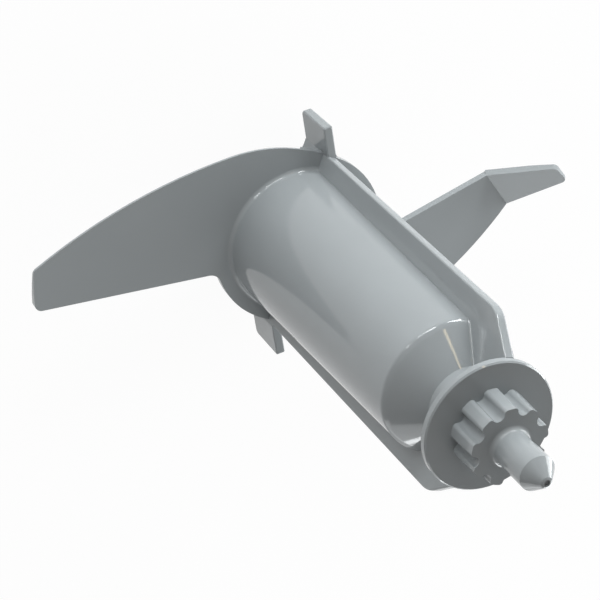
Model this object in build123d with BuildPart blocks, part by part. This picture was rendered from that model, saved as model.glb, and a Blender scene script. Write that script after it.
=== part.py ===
from build123d import *
from math import cos, degrees, radians, sin, sqrt, tan
import os

# Heights above the floor of the bowl
blade_top = 12.5
barrel_length = 83.5
shoulder_length = 7.6
neck_length = 9.6
flange_t = 2.2
spline_length = 9.1
pin_length = 11.8
pin_point_length = 4.2

# Hub
barrel_top_r = 17.8
barrel_taper = 2.15
barrel_wall = 2.0
neck_r = 9.6
hub_fillet_r = 1.2
ring_width = 4.45
flange_r = 16.85
flange_chamfer = 0.35

# Drive socket inside the neck
socket_r = 6.0
socket_length = 14.0
key_width = 2.4
key_depth = 1.2
key_length = 6.0
key_count = 2

# Nine-lobe spline
lobe_count = 9
lobe_turn = 150.0
lobe_tip_r = 10.2
lobe_root_r = 8.3
lobe_corner_r = 1.1
valley_width = 2.6
spline_draft = 1.6

# Locating pin
pin_r = 4.5
pin_fillet_r = 1.2
pin_end_r = 1.25
pin_end_chamfer = 0.3
dimple_r = 0.7
dimple_depth = 0.5

# Fins
fin_t = 2.55
fin_overhang = 0.6
fin_taper = 0.65
fin_edge_angle = 38.0
fin_shoulder_r = 8.0
fin_edge_r = 0.45
fin_root_r = 0.6

# Tabs at the feet of the fins
tab_t = 2.5
tab_width = 9.1
tab_lean = 28.0
tab_above_blade = 2.8
tab_corner_r = 1.5
tab_edge_chamfer = 0.3
tab_foot_gap = 1.4
web_flare = 2.0
web_round_r = 4.0

# Blades
blade_t = 2.2
blade_edge_t = 0.7
bevel_width = 8.0
blade_tip_r = 74.7
tip_corner_r = 2.0
root_fillet_r = 3.5
trail_angle = 18.9
trail_offset = 5.43
lead_start = 7.4
lead_root_r = 42.0
lead_root_turn = 28.5
lead_tip_angle = 14.08

# Folded blade
folded_lead_start = 11.3
folded_lead_root_r = 46.4
folded_lead_turn = 55.7
folded_lead_outer_r = 104.0
folded_trail_angle = 38.76
folded_trail_offset = 12.16
fold_angle = 40.0
fold_distance = 51.3
fold_direction = 53.9
wing_trail_lean = 13.9
wing_lead_lean = 6.3
wing_length = 19.0
wing_tip_slope = 8.0
wing_corner_r = 1.5

# How closely an edge must match a size to be picked out
match = 0.01

# Heights and radii that follow from the sizes above
barrel_top = blade_top + barrel_length
shoulder_top = barrel_top + shoulder_length
flange_height = shoulder_top + neck_length
flange_top = flange_height + flange_t
spline_top = flange_top + spline_length
pin_shoulder = spline_top + pin_length
pin_tip = pin_shoulder + pin_point_length
blade_bottom = blade_top - blade_t
barrel_foot_r = barrel_top_r + barrel_taper
barrel_slope = barrel_taper / barrel_length
ring_r = barrel_foot_r + ring_width
fin_foot_r = ring_r + fin_overhang
fin_top_r = fin_foot_r - fin_taper
foot_r = barrel_foot_r + barrel_slope * blade_top
cavity_foot_r = foot_r - barrel_wall
cavity_top_r = barrel_top_r - barrel_wall
shoulder_slope = shoulder_length / (barrel_top_r - neck_r)
shoulder_drop = barrel_wall * sqrt(1 + shoulder_slope**2)
cavity_top = barrel_top + barrel_wall * shoulder_slope - shoulder_drop
socket_foot = barrel_top + (barrel_top_r - socket_r) * shoulder_slope - shoulder_drop
socket_top = socket_foot + socket_length
fin_corner = flange_height - (fin_top_r - flange_r) / tan(radians(fin_edge_angle))
web_corner_r = foot_r + web_flare
tab_top = blade_top + tab_above_blade
valley_turn = lobe_turn + 180 / lobe_count
blade_run = 0.9 * blade_tip_r
folded_run = 0.8 * fold_distance
upright = Vector(0, 0, 1)
blade_plane = Plane.XY.offset(blade_top)
fin_plane = Plane.YZ


def heading(angle):
    """Horizontal unit vector at an angle from +X."""
    return Vector(cos(radians(angle)), sin(radians(angle)), 0)


def leading_edge(start, root_r, root_turn, outer_r, outer_run):
    """Two tangent arcs from the foot of the lower fin out past the end of the blade."""
    with BuildLine() as edge:
        root_arc = JernArc((start, -fin_foot_r, blade_top), (1, 0, 0), root_r, root_turn)
        JernArc(root_arc @ 1, root_arc % 1, outer_r, degrees(outer_run / outer_r))
    return edge.wire()


def blade_outline(edge, slope, distance):
    """Blade on the +X side, closed by a straight trailing edge at a distance from the axis."""
    tip = edge.position_at(1)
    root = edge.position_at(0)
    height = distance / cos(radians(slope))
    with BuildSketch(blade_plane) as outline:
        with BuildLine():
            add(edge)
            corner = (tip.X, height + tip.X * tan(radians(slope)), blade_top)
            Polyline(tip, corner, (0, height, blade_top), (0, root.Y, blade_top), root)
        make_face()
    return outline.sketch


def trimmed(outline):
    """The same blade cut off by the tip circle, with its corners rounded."""
    with BuildSketch(blade_plane) as plan:
        add(outline)
        Circle(blade_tip_r, mode=Mode.INTERSECT)
        tip_corners = plan.vertices().filter_by(
            lambda v: abs(Vector(v.X, v.Y).length - blade_tip_r) < match
        )
        fillet(tip_corners, tip_corner_r)
    return plan.sketch


def bevel_section(edge, up):
    """Section of the wedge that is taken off the underside along a leading edge."""
    start = Plane(origin=edge @ 0, x_dir=up.cross(edge % 0), z_dir=edge % 0)
    with BuildSketch(start) as section:
        with BuildLine():
            Polyline(
                (bevel_width, -blade_t),
                (0, -blade_edge_t),
                (-blade_t, -blade_edge_t),
                (-blade_t, -2 * blade_t),
                (bevel_width, -2 * blade_t),
                close=True,
            )
        make_face()
    return section.sketch


# Long flat blade, drawn towards +X and turned to -X when it joins the hub
lead_tip = heading(lead_tip_angle) * blade_tip_r
lead_joint = Vector(
    lead_start + lead_root_r * sin(radians(lead_root_turn)),
    lead_root_r * (1 - cos(radians(lead_root_turn))) - fin_foot_r,
)
lead_chord = lead_tip - lead_joint
lead_outer_r = lead_chord.length**2 / (2 * heading(lead_root_turn).cross(lead_chord).Z)
long_edge = leading_edge(lead_start, lead_root_r, lead_root_turn, lead_outer_r, blade_run)
long_outline = blade_outline(long_edge, trail_angle, trail_offset)
with BuildPart() as long_blade:
    extrude(long_outline, amount=-blade_t)
    sweep(bevel_section(long_edge, upright), path=long_edge, mode=Mode.SUBTRACT)
    extrude(trimmed(long_outline), amount=-blade_t, mode=Mode.INTERSECT)

# Planes of the fold: the mitre between the two parts, and the top of the wing
fold_out = heading(fold_direction)
fold_along = heading(fold_direction - 90)
fold_origin = fold_out * fold_distance + upright * blade_top
wing_out = fold_out * cos(radians(fold_angle)) + upright * sin(radians(fold_angle))
mitre_out = fold_out * cos(radians(fold_angle / 2)) + upright * sin(radians(fold_angle / 2))
mitre_plane = Plane(origin=fold_origin, x_dir=fold_along, z_dir=-mitre_out)
wing_plane = Plane(origin=fold_origin, x_dir=fold_along, z_dir=fold_along.cross(wing_out))

# Flat inner part of the folded blade
folded_edge = leading_edge(
    folded_lead_start, folded_lead_root_r, folded_lead_turn, folded_lead_outer_r, folded_run
)
folded_outline = blade_outline(folded_edge, folded_trail_angle, -folded_trail_offset)
with BuildPart() as folded_blade:
    extrude(folded_outline, amount=-blade_t)
    sweep(bevel_section(folded_edge, upright), path=folded_edge, mode=Mode.SUBTRACT)
    split(bisect_by=mitre_plane, keep=Keep.TOP)

# Wing, from the fold line to the bowl wall
crease = folded_blade.edges().filter_by(Axis((0, 0, 0), fold_along)).sort_by(Axis.Z)[-1]
crease_ends = sorted(wing_plane.to_local_coords(v.center()).X for v in crease.vertices())
trail_lean = tan(radians(wing_trail_lean))
lead_lean = tan(radians(wing_lead_lean))
crease_width = crease_ends[1] - crease_ends[0]
wing_tip_width = crease_width - wing_length * (trail_lean + lead_lean)
wing_tip_rise = wing_tip_width * tan(radians(wing_tip_slope))
overlap = 2 * blade_t
with BuildLine(wing_plane) as wing_lead:
    Line(
        (crease_ends[1] + overlap * lead_lean, -overlap),
        (crease_ends[1] - 2 * wing_length * lead_lean, 2 * wing_length),
    )
with BuildPart() as wing:
    with BuildSketch(wing_plane) as wing_outline:
        with BuildLine():
            tip_start = (crease_ends[0] + wing_length * trail_lean, wing_length)
            tip_end = (tip_start[0] + wing_tip_width, wing_length + wing_tip_rise)
            Polyline(
                (crease_ends[0] - overlap * trail_lean, -overlap),
                tip_start,
                tip_end,
                (crease_ends[1] + overlap * lead_lean, -overlap),
                close=True,
            )
        make_face()
        fillet(wing_outline.vertices().sort_by(Axis.Y)[-2:], wing_corner_r)
    extrude(amount=-blade_t)
    wing_edge = wing_lead.wire()
    sweep(bevel_section(wing_edge, wing_plane.z_dir), path=wing_edge, mode=Mode.SUBTRACT)
    split(bisect_by=mitre_plane, keep=Keep.BOTTOM)

# Fins on both sides of the hub, with a web below the ring down to the tabs
with BuildPart() as fins:
    with BuildSketch(fin_plane) as fin_profile:
        with BuildLine():
            Polyline(
                (0, 0),
                (foot_r, 0),
                (web_corner_r, tab_foot_gap),
                (fin_foot_r, tab_foot_gap),
                (fin_foot_r, blade_top),
                (fin_top_r, fin_corner),
                (flange_r, flange_height),
                (0, flange_height),
                close=True,
            )
        make_face()
        corners = fin_profile.vertices().sort_by(Axis.Y)
        fillet(corners.sort_by_distance((web_corner_r, tab_foot_gap))[0], web_round_r)
        corners = fin_profile.vertices()
        fillet(corners.sort_by_distance((fin_top_r, fin_corner))[0], fin_shoulder_r)
        mirror(about=Plane.YZ)
    extrude(amount=fin_t / 2, both=True)
    rims = fins.faces().filter_by(Axis.X).edges()
    outer_rims = rims.filter_by(
        lambda e: abs(e.center().Y) > ring_r / 2 and blade_top < e.center().Z < flange_height
    )
    fillet(outer_rims, fin_edge_r)

# Tab that leans away from the foot of a fin
lean_out = heading(90 + tab_lean)
tab_root = Vector(0, fin_foot_r, tab_foot_gap)
with BuildPart() as tab:
    with BuildSketch(Plane(origin=tab_root, x_dir=lean_out, z_dir=lean_out.cross(upright))) as side:
        Rectangle(tab_width, tab_top - tab_foot_gap, align=Align.MIN)
        fillet(side.vertices().sort_by_distance((tab_width, 0))[0], tab_corner_r)
    extrude(amount=tab_t / 2, both=True)
    chamfer(tab.edges(), tab_edge_chamfer)
    with BuildSketch(Plane.XY.offset(tab_foot_gap)):
        with Locations((0, fin_foot_r)):
            Circle(tab_t / 2)
    extrude(amount=tab_top - tab_foot_gap)

# Hub, ring, neck, flange and pin in one turned profile, and what stands on them
with BuildPart() as dough_blade:
    with BuildSketch(Plane.XZ) as hub_profile:
        with BuildLine():
            Polyline(
                (0, 0),
                (foot_r, 0),
                (foot_r - barrel_slope * blade_bottom, blade_bottom),
                (ring_r, blade_bottom),
                (ring_r, blade_top),
                (barrel_foot_r, blade_top),
                (barrel_top_r, barrel_top),
                (neck_r, shoulder_top),
                (neck_r, flange_height),
                (flange_r, flange_height),
                (flange_r, flange_top),
                (pin_r, flange_top),
                (pin_r, pin_shoulder),
                (pin_end_r, pin_tip),
                (0, pin_tip),
                close=True,
            )
        make_face()
        points = hub_profile.vertices()
        fillet(points.sort_by_distance((barrel_foot_r, blade_top))[0], hub_fillet_r)
        for height in (flange_height, flange_top):
            points = hub_profile.vertices()
            chamfer(points.sort_by_distance((flange_r, height))[0], flange_chamfer)
        points = hub_profile.vertices()
        chamfer(points.sort_by_distance((pin_end_r, pin_tip))[0], pin_end_chamfer)
    revolve(axis=Axis.Z)
    add(long_blade.part.rotate(Axis.Z, 180))
    add(folded_blade.part)
    add(wing.part)
    ring_corners = dough_blade.edges().filter_by(Axis.Z).filter_by(
        lambda e: abs(Vector(e.center().X, e.center().Y).length - ring_r) < match
        and abs(e.center().X) > fin_t
        and abs(e.length - blade_t) < match
    )
    fillet(ring_corners, root_fillet_r)
    add(fins.part)
    shoulder_roots = dough_blade.edges().filter_by(
        lambda e: abs(abs(e.center().X) - fin_t / 2) < match
        and barrel_top < e.center().Z < shoulder_top
        and abs(e.center().Y) < barrel_top_r
        and e.length > shoulder_length
    )
    fillet(shoulder_roots, fin_root_r)
    add(tab.part)
    add(tab.part.rotate(Axis.Z, 180))

    # Drafted spline with rounded lobes
    with BuildSketch(Plane.XY.offset(flange_top)) as spline_section:
        Circle(lobe_tip_r)
        with PolarLocations(lobe_root_r + valley_width / 2, lobe_count, valley_turn):
            Circle(valley_width / 2, mode=Mode.SUBTRACT)
        with PolarLocations(lobe_root_r + valley_width, lobe_count, valley_turn):
            Rectangle(valley_width, valley_width, mode=Mode.SUBTRACT)
        offset(amount=-lobe_corner_r)
        offset(amount=lobe_corner_r)
    extrude(amount=spline_length, taper=spline_draft)
    pin_foot = dough_blade.edges().filter_by(GeomType.CIRCLE).filter_by(
        lambda e: abs(e.radius - pin_r) < match and abs(e.center().Z - spline_top) < match
    )
    fillet(pin_foot, pin_fillet_r)

    # Dimple in the end of the pin
    with BuildSketch(Plane.XY.offset(pin_tip)):
        Circle(dimple_r)
    extrude(amount=-dimple_depth, mode=Mode.SUBTRACT)

    # Hollow inside of the barrel, with the drive socket in the neck
    with BuildSketch(Plane.XZ):
        with BuildLine():
            Polyline(
                (0, 0),
                (cavity_foot_r, 0),
                (cavity_top_r, cavity_top),
                (socket_r, socket_foot),
                (socket_r, socket_top),
                (0, socket_top),
                close=True,
            )
        make_face()
    revolve(axis=Axis.Z, mode=Mode.SUBTRACT)
    with BuildSketch(Plane.XY.offset(socket_foot)):
        with PolarLocations(0, key_count):
            Rectangle(2 * (socket_r + key_depth), key_width)
    extrude(amount=key_length, mode=Mode.SUBTRACT)

os.makedirs("parts", exist_ok=True)
dough_blade.part.label = "dough_blade"
export_step(dough_blade.part, "parts/dough_blade.step")
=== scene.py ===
from math import cos, radians, sin

import bmesh
import bpy
from mathutils import Matrix, Vector

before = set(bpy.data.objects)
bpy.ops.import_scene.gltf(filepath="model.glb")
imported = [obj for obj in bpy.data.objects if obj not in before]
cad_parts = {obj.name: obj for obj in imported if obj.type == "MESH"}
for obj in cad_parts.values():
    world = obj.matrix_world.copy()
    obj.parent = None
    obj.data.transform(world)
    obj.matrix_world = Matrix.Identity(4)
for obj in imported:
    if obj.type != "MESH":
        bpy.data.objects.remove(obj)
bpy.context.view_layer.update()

MM = 0.001

# Camera, fitted to the photograph: where it stands, where it looks and its roll in degrees
CAMERA_PLACE = Vector((-271.76, 166.45, 445.65)) * MM
CAMERA_TARGET = Vector((-6.22, -9.39, 32.05)) * MM
CAMERA_ROLL = 136.234
CAMERA_LENS_MM = 120.0
CAMERA_SENSOR_MM = 36.0
CAMERA_NEAR = 0.01
CAMERA_FAR = 20.0

# Grey plastic: its lightest and darkest grey and how large and strong its marks are
DARK_GREY = (0.276, 0.298, 0.308, 1)
LIGHT_GREY = (0.304, 0.327, 0.338, 1)
FLOW_SCALE = 28.0
SCUFF_SCALE = 60.0
PEEL_SCALE = 160.0
PEEL_STRENGTH = 0.008
PEEL_DEPTH = 0.001
SMOOTHEST = 0.05
SCUFF_ROUGHNESS = 0.08
PLASTIC_IOR = 1.5

# Small rounding of the edge between the barrel and the shoulder
BARREL_TOP = 0.096
ROUND_MAX_R = 0.0180
ROUND_WIDTH = 0.0010
ROUND_CURVE = 230.0

# Floor, and how much of its white the camera and the glossy faces see
FLOOR_SIZE = 3.0
FLOOR_GAP = 0.0002
FLOOR_COLOUR = (0.86, 0.86, 0.86, 1)
FLOOR_GLOW = 0.95
MIRRORED_GLOW = 0.6

# World and lamps: sizes and places in metres, powers in watts
WORLD_STRENGTH = 0.31
WORLD_COLOUR = (1, 0.955, 0.93, 1)
COOL = (0.96, 0.99, 1)
WARM = (1, 0.8, 0.5)
PART_MIDDLE = Vector((0, 0, 0.05))
LAMPS = {
    "back_box": {"place": (0.56, -0.39, 0.18), "size": (1.20, 0.34), "power": 5.8},
    "side_box": {"place": (0.53, 0.28, 0.10), "size": (0.40, 0.25), "power": 2.2},
    "upper_tube": {"place": (0.11, 0.59, 0.12), "size": (0.23, 0.08), "power": 1.9},
    "front_tube": {"place": (-0.29, 0.51, 0.18), "size": (0.28, 0.06), "power": 1.5},
    "left_tube": {"place": (-0.51, 0.32, 0.18), "size": (0.12, 0.08), "power": 0.6},
    "low_box": {"place": (0.10, -0.59, 0.10), "size": (0.60, 0.30), "power": 0.9},
}

# The warm lamp makes the streak on the shoulder: its direction from there in degrees
SHOULDER = Vector((-0.004, 0.014, 0.098))
WARM_AZIMUTH = 91.5
WARM_ELEVATION = 38
WARM_DISTANCE = 1.0
WARM_SIZE = (0.05, 0.12)
WARM_POWER = 0.15


def aimed(place, target, roll=0.0):
    """Where a camera or lamp stands, turned to look at the target and then rolled."""
    look = (target - place).to_track_quat("-Z", "Y").to_matrix().to_4x4()
    return Matrix.Translation(place) @ look @ Matrix.Rotation(roll, 4, "Z")


def camera():
    data = bpy.data.cameras.new("camera")
    data.lens = CAMERA_LENS_MM
    data.sensor_width = CAMERA_SENSOR_MM
    data.sensor_height = CAMERA_SENSOR_MM
    data.sensor_fit = "HORIZONTAL"
    data.clip_start = CAMERA_NEAR
    data.clip_end = CAMERA_FAR
    made = bpy.data.objects.new("camera", data)
    made.matrix_world = aimed(CAMERA_PLACE, CAMERA_TARGET, radians(CAMERA_ROLL))
    bpy.context.scene.collection.objects.link(made)
    bpy.context.scene.camera = made


class Shade:
    """A shader socket that can be used in sums and products."""

    def __init__(self, graph, socket):
        self.graph = graph
        self.socket = socket

    def __add__(self, other):
        return self.graph.maths("ADD", self, other)

    def __radd__(self, other):
        return self.graph.maths("ADD", other, self)

    def __sub__(self, other):
        return self.graph.maths("SUBTRACT", self, other)

    def __rsub__(self, other):
        return self.graph.maths("SUBTRACT", other, self)

    def __mul__(self, other):
        return self.graph.maths("MULTIPLY", self, other)


class Graph:
    """One material's node tree."""

    def __init__(self, name):
        self.material = bpy.data.materials.new(name)
        self.material.use_nodes = True
        self.tree = self.material.node_tree
        self.tree.nodes.clear()

    def add(self, kind, settings, inputs):
        """Add a node. Inputs that are shades are linked, the others are set."""
        made = self.tree.nodes.new(kind)
        for name, value in settings.items():
            setattr(made, name, value)
        for name, value in inputs.items():
            if isinstance(value, Shade):
                self.tree.links.new(value.socket, made.inputs[name])
            else:
                made.inputs[name].default_value = value
        return made

    def node(self, kind, inputs):
        return Shade(self, self.add(kind, {}, inputs).outputs[0])

    def maths(self, operation, first, second=0.0):
        made = self.add("ShaderNodeMath", {"operation": operation}, {0: first, 1: second})
        return Shade(self, made.outputs[0])

    def mix(self, factor, first, second):
        """Mix two colours. The colour sockets of the node are its inputs 6 and 7."""
        inputs = {"Factor": factor, 6: first, 7: second}
        made = self.add("ShaderNodeMix", {"data_type": "RGBA"}, inputs)
        return Shade(self, made.outputs[2])

    def noise(self, place, scale, detail):
        return self.node("ShaderNodeTexNoise", {"Vector": place, "Scale": scale, "Detail": detail})

    def outputs(self, kind, names, inputs=None):
        made = self.add(kind, {}, inputs or {})
        return [Shade(self, made.outputs[name]) for name in names]

    def finish(self, surface):
        end = self.tree.nodes.new("ShaderNodeOutputMaterial")
        self.tree.links.new(surface.socket, end.inputs["Surface"])
        return self.material


def rounded_edge(g, place):
    """Normals that round the edge between barrel and shoulder, and leave the rest as it is."""
    x, y, z = g.outputs("ShaderNodeSeparateXYZ", ["X", "Y", "Z"], {0: place})
    on_hub = g.maths("LESS_THAN", g.maths("SQRT", x * x + y * y), ROUND_MAX_R)
    near = g.maths("MAXIMUM", ROUND_WIDTH - g.maths("ABSOLUTE", z - BARREL_TOP), 0.0)
    height = near * near * on_hub * -ROUND_CURVE
    return g.node("ShaderNodeBump", {"Height": height, "Strength": 1.0, "Distance": 1.0})


def grey_plastic():
    """Glossy cool grey moulding: faint flow marks, a soft orange peel and a few scuffs."""
    g = Graph("grey_plastic")
    [place] = g.outputs("ShaderNodeTexCoord", ["Object"])
    flow = g.noise(place, FLOW_SCALE, detail=3.0)
    tint = g.mix(flow, DARK_GREY, LIGHT_GREY)
    peel = g.noise(place, PEEL_SCALE, detail=2.0)
    scuff = g.noise(place, SCUFF_SCALE, detail=6.0)
    rough = SMOOTHEST + scuff * SCUFF_ROUGHNESS
    peel_inputs = {
        "Height": peel,
        "Strength": PEEL_STRENGTH,
        "Distance": PEEL_DEPTH,
        "Normal": rounded_edge(g, place),
    }
    plastic_inputs = {
        "Base Color": tint,
        "Roughness": rough,
        "Normal": g.node("ShaderNodeBump", peel_inputs),
        "IOR": PLASTIC_IOR,
    }
    return g.finish(g.node("ShaderNodeBsdfPrincipled", plastic_inputs))


def floor_white():
    """White sweep that the camera sees near white, and that still takes the part's shadow."""
    g = Graph("floor_white")
    camera_ray, glossy_ray = g.outputs("ShaderNodeLightPath", ["Is Camera Ray", "Is Glossy Ray"])
    seen = camera_ray * FLOOR_GLOW + glossy_ray * MIRRORED_GLOW
    card = g.node("ShaderNodeBsdfDiffuse", {"Color": FLOOR_COLOUR})
    glow = g.node("ShaderNodeEmission", {"Color": (1, 1, 1, 1), "Strength": 1.0})
    return g.finish(g.node("ShaderNodeMixShader", {0: seen, 1: card, 2: glow}))


def floor():
    ground_mesh = bpy.data.meshes.new("floor")
    ground = bpy.data.objects.new("floor", ground_mesh)
    shape = bmesh.new()
    bmesh.ops.create_grid(shape, x_segments=1, y_segments=1, size=FLOOR_SIZE)
    bmesh.ops.translate(shape, verts=shape.verts, vec=(0, 0, -FLOOR_GAP))
    shape.to_mesh(ground_mesh)
    shape.free()
    ground_mesh.materials.append(floor_white())
    bpy.context.scene.collection.objects.link(ground)


def lamp(name, place, target, size, power, colour):
    data = bpy.data.lights.new(name, "AREA")
    data.shape = "RECTANGLE"
    data.size, data.size_y = size
    data.energy = power
    data.color = colour
    made = bpy.data.objects.new(name, data)
    made.matrix_world = aimed(Vector(place), target)
    bpy.context.scene.collection.objects.link(made)


def warm_lamp():
    turn = radians(WARM_AZIMUTH)
    rise = radians(WARM_ELEVATION)
    toward = Vector((cos(turn) * cos(rise), sin(turn) * cos(rise), sin(rise)))
    place = SHOULDER + toward * WARM_DISTANCE
    lamp("warm_lamp", place, SHOULDER, WARM_SIZE, WARM_POWER, WARM)


def studio():
    world = bpy.data.worlds.new("world")
    bpy.context.scene.world = world
    world.use_nodes = True
    back = world.node_tree.nodes["Background"]
    back.inputs["Color"].default_value = WORLD_COLOUR
    back.inputs["Strength"].default_value = WORLD_STRENGTH
    for name, box in LAMPS.items():
        lamp(name, box["place"], PART_MIDDLE, box["size"], box["power"], COOL)
    warm_lamp()


def finish_frame():
    plastic = grey_plastic()
    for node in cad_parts.values():
        node.data.materials.clear()
        node.data.materials.append(plastic)


camera()
finish_frame()
floor()
studio()
bpy.context.scene.view_settings.view_transform = "Standard"
